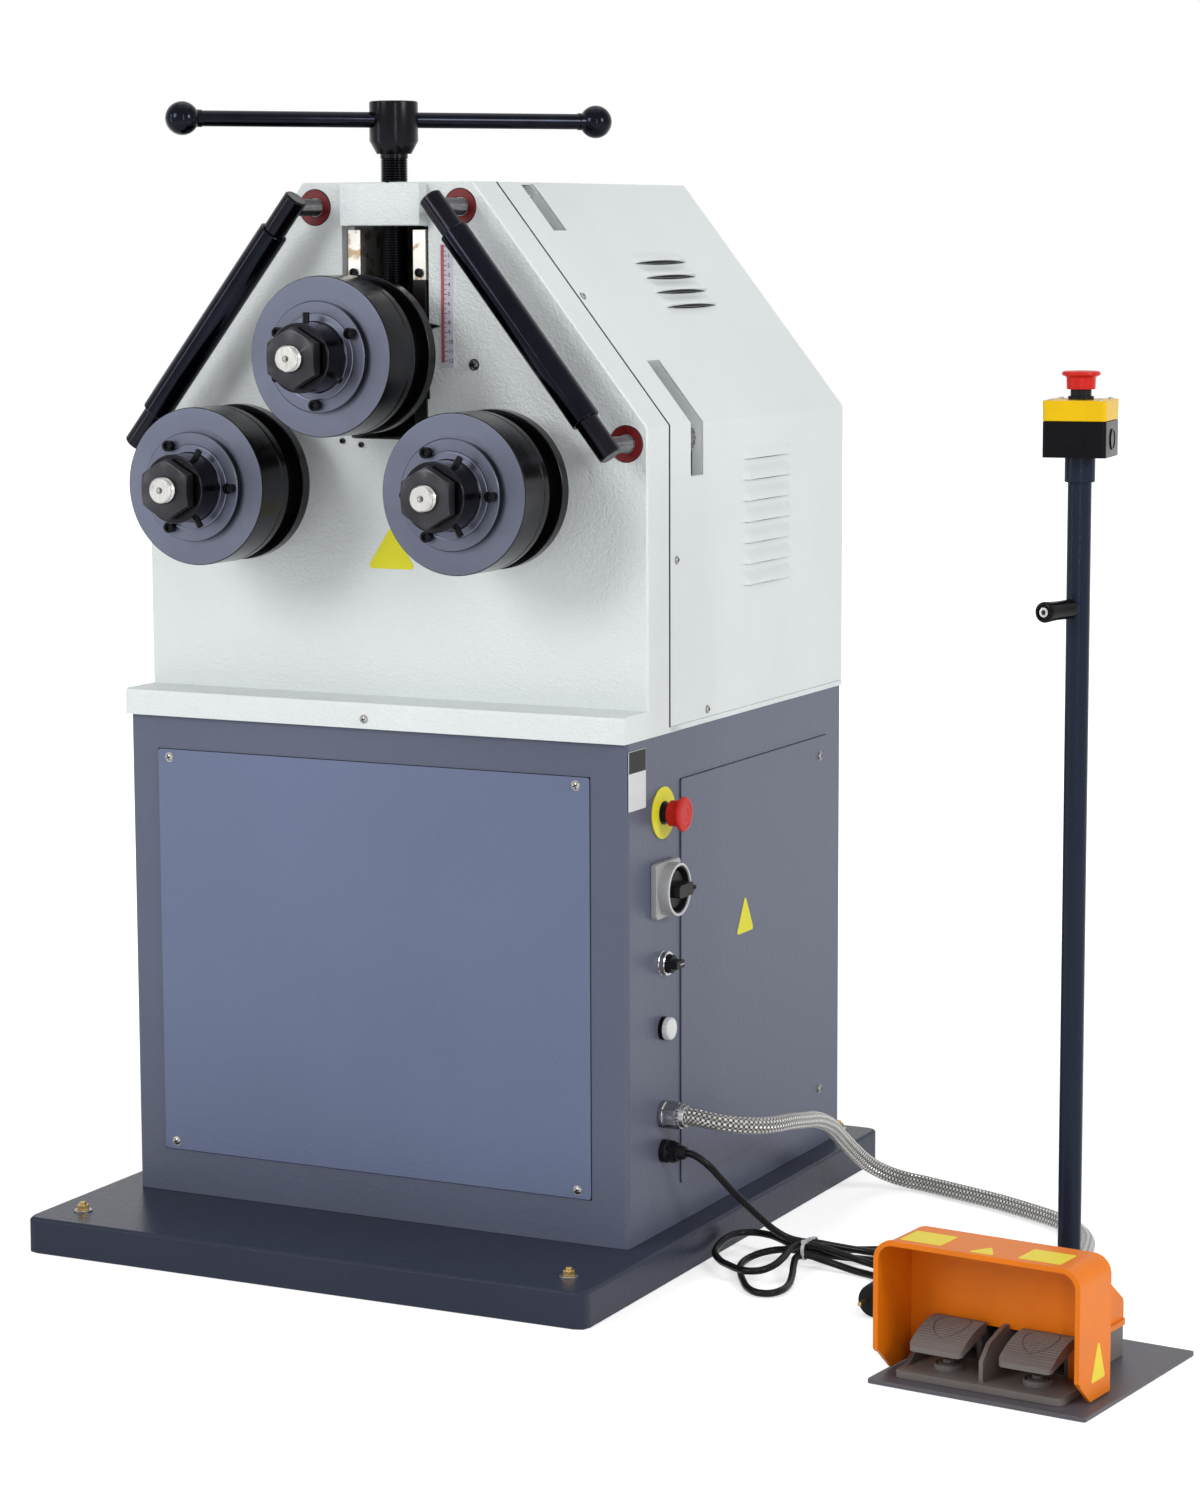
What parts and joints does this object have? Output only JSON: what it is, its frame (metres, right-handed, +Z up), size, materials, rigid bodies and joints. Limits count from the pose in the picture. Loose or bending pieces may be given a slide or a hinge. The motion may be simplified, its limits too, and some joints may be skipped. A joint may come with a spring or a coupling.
{
  "type": "ring roller",
  "caption": "Electric ring roller for bending profiles, on a cabinet stand with a hand spindle, guide arms and a pedal station with a pole-mounted stop.",
  "frame": {"origin": "floor level, under the middle of the machine and its foot station", "axes": "+X to the machine's right towards the foot station, +Y to the back, +Z up"},
  "size_m": [1.3627, 0.9055, 1.3385],
  "materials": {
    "slate_paint": "satin",
    "pale_paint": "satin",
    "blued_steel": "satin",
    "bright_steel": "satin",
    "dark_steel": "satin",
    "black_plastic": "matte",
    "black_paint": "satin",
    "orange_plastic": "satin",
    "grey_plastic": "matte",
    "silver_plastic": "satin",
    "plate_paint": "matte",
    "red_plastic": "gloss",
    "yellow_plastic": "gloss",
    "white_lens": "gloss",
    "motor_paint": "satin",
    "conduit_steel": "braided",
    "cable_rubber": "matte"
  },
  "bodies": {
    "machine": {"base_plinth": "slate_paint", "cabinet": "slate_paint", "front_cover": "slate_paint", "side_cover": "slate_paint", "front_casting": "pale_paint", "gib_left": "bright_steel", "gib_right": "bright_steel", "rear_bearing_plate": "pale_paint", "gearmotor": "motor_paint", "rear_cowl": "pale_paint", "estop_base": "yellow_plastic", "isolator_plate": "silver_plastic", "selector_bezel": "bright_steel", "pilot_lamp": "bright_steel", "lamp_lens": "white_lens", "conduit_gland": "dark_steel", "cable_gland": "black_plastic", "station_plate": "plate_paint", "pedal_base": "grey_plastic", "pedal_guard": "orange_plastic", "station_pole": "slate_paint", "estop_box": "black_plastic", "estop_box_lid": "yellow_plastic", "conduit": "conduit_steel", "mains_drop": "cable_rubber", "mains_hank": "cable_rubber", "mains_plug": "black_plastic"},
    "carriage": {"carriage": "blued_steel"},
    "spindle": {"spindle": "blued_steel", "handle_bar": "black_paint"},
    "top_roller": {"top_shaft": "bright_steel", "top_roll_set": "blued_steel", "top_roll_flange": "blued_steel", "top_roll_nut": "blued_steel"},
    "left_roller": {"left_shaft": "bright_steel", "left_roll_set": "blued_steel", "left_roll_flange": "blued_steel", "left_roll_nut": "blued_steel", "gear_left": "dark_steel"},
    "right_roller": {"right_shaft": "bright_steel", "right_roll_set": "blued_steel", "right_roll_flange": "blued_steel", "right_roll_nut": "blued_steel", "gear_right": "dark_steel"},
    "pinion": {"drive_pinion": "dark_steel"},
    "left_arm": {"guide_arm_left": "blued_steel"},
    "right_arm": {"guide_arm_right": "blued_steel"},
    "left_sleeve": {"guide_sleeve_left": "blued_steel"},
    "right_sleeve": {"guide_sleeve_right": "blued_steel"},
    "nut_top_left": {"thumb_nut_top_left": "blued_steel"},
    "nut_top_right": {"thumb_nut_top_right": "blued_steel"},
    "nut_low_left": {"thumb_nut_low_left": "blued_steel"},
    "nut_low_right": {"thumb_nut_low_right": "blued_steel"},
    "left_pedal": {"pedal_left": "grey_plastic"},
    "right_pedal": {"pedal_right": "grey_plastic"},
    "side_stop": {"side_estop_button": "red_plastic"},
    "pole_stop": {"pole_estop_button": "red_plastic"},
    "isolator": {"isolator_knob": "black_plastic"},
    "selector": {"selector_knob": "black_plastic"},
    "grip": {"pole_grip": "black_plastic"}
  },
  "joints": [
    {"name": "spindle_turn", "type": "hinge", "parent": "carriage", "child": "spindle", "pos_m": [-0.3069, -0.14331, 1.317], "axis": [0, 0, 1], "range_deg": [-1790, 5090]},
    {"name": "carriage_slide", "type": "slide", "parent": "machine", "child": "carriage", "axis": [0, 0, 1], "range_m": [-0.03, 0.085]},
    {"name": "top_roller_turn", "type": "hinge", "parent": "carriage", "child": "top_roller", "pos_m": [-0.3069, -0.26281, 1.0525], "axis": [0, 1, 0], "continuous": true},
    {"name": "right_roller_turn", "type": "hinge", "parent": "machine", "child": "right_roller", "pos_m": [-0.1392, -0.26281, 0.9035], "axis": [0, 1, 0], "continuous": true},
    {"name": "left_roller_turn", "type": "hinge", "parent": "machine", "child": "left_roller", "pos_m": [-0.4746, -0.26281, 0.9035], "axis": [0, 1, 0], "continuous": true},
    {"name": "pinion_turn", "type": "hinge", "parent": "machine", "child": "pinion", "pos_m": [-0.3069, 0.00219, 0.87007], "axis": [0, 1, 0], "continuous": true},
    {"name": "left_pedal_press", "type": "hinge", "parent": "machine", "child": "left_pedal", "pos_m": [0.48264, -0.32307, 0.034], "axis": [0.9943, -0.1063, 0], "range_deg": [0, 8], "stiffness_Nm_per_rad": 2, "springref_deg": -20.05},
    {"name": "right_pedal_press", "type": "hinge", "parent": "machine", "child": "right_pedal", "pos_m": [0.58506, -0.33402, 0.034], "axis": [0.9943, -0.1063, 0], "range_deg": [0, 8], "stiffness_Nm_per_rad": 2, "springref_deg": -20.05},
    {"name": "side_stop_press", "type": "slide", "parent": "machine", "child": "side_stop", "axis": [-1, 0, 0], "range_m": [0, 0.006]},
    {"name": "pole_stop_press", "type": "slide", "parent": "machine", "child": "pole_stop", "axis": [0, 0, -1], "range_m": [0, 0.006]},
    {"name": "isolator_turn", "type": "hinge", "parent": "machine", "child": "isolator", "pos_m": [0.0331, -0.12181, 0.446], "axis": [1, 0, 0], "range_deg": [0, 90]},
    {"name": "selector_turn", "type": "hinge", "parent": "machine", "child": "selector", "pos_m": [0.0331, -0.12181, 0.3588], "axis": [1, 0, 0], "range_deg": [-45, 45]},
    {"name": "grip_turn", "type": "hinge", "parent": "machine", "child": "grip", "pos_m": [0.54653, -0.20519, 0.797], "axis": [-0.2605, -0.9655, 0], "continuous": true},
    {"name": "nut_top_left_turn", "type": "hinge", "parent": "machine", "child": "nut_top_left", "pos_m": [-0.4024, -0.03281, 1.2184], "axis": [0, 1, 0], "range_deg": [-3610, 2890]},
    {"name": "nut_low_left_turn", "type": "hinge", "parent": "machine", "child": "nut_low_left", "pos_m": [-0.6114, -0.03281, 0.9543], "axis": [0, 1, 0], "range_deg": [-3610, 2890]},
    {"name": "left_arm_slide", "type": "slide", "parent": "machine", "child": "left_arm", "axis": [0, 1, 0], "range_m": [-0.02, 0.025]},
    {"name": "left_sleeve_turn", "type": "hinge", "parent": "left_arm", "child": "left_sleeve", "pos_m": [-0.5069, -0.21681, 1.08635], "axis": [0.6206, 0, 0.7842], "continuous": true},
    {"name": "nut_top_right_turn", "type": "hinge", "parent": "machine", "child": "nut_top_right", "pos_m": [-0.2114, -0.03281, 1.2184], "axis": [0, 1, 0], "range_deg": [-3610, 2890]},
    {"name": "nut_low_right_turn", "type": "hinge", "parent": "machine", "child": "nut_low_right", "pos_m": [-0.0024, -0.03281, 0.9543], "axis": [0, 1, 0], "range_deg": [-3610, 2890]},
    {"name": "right_arm_slide", "type": "slide", "parent": "machine", "child": "right_arm", "axis": [0, 1, 0], "range_m": [-0.02, 0.025]},
    {"name": "right_sleeve_turn", "type": "hinge", "parent": "right_arm", "child": "right_sleeve", "pos_m": [-0.1069, -0.21681, 1.08635], "axis": [-0.6206, 0, 0.7842], "continuous": true}
  ],
  "couplings": [
    {"joint": "carriage_slide", "follows": "spindle_turn", "m_per_rad": 0.00095493},
    {"joint": "left_roller_turn", "follows": "right_roller_turn", "ratio": 1},
    {"joint": "pinion_turn", "follows": "right_roller_turn", "ratio": -2.8},
    {"joint": "nut_top_left_turn", "follows": "left_arm_slide", "rad_per_m": -2513.3},
    {"joint": "nut_low_left_turn", "follows": "left_arm_slide", "rad_per_m": -2513.3},
    {"joint": "nut_top_right_turn", "follows": "right_arm_slide", "rad_per_m": -2513.3},
    {"joint": "nut_low_right_turn", "follows": "right_arm_slide", "rad_per_m": -2513.3}
  ]
}
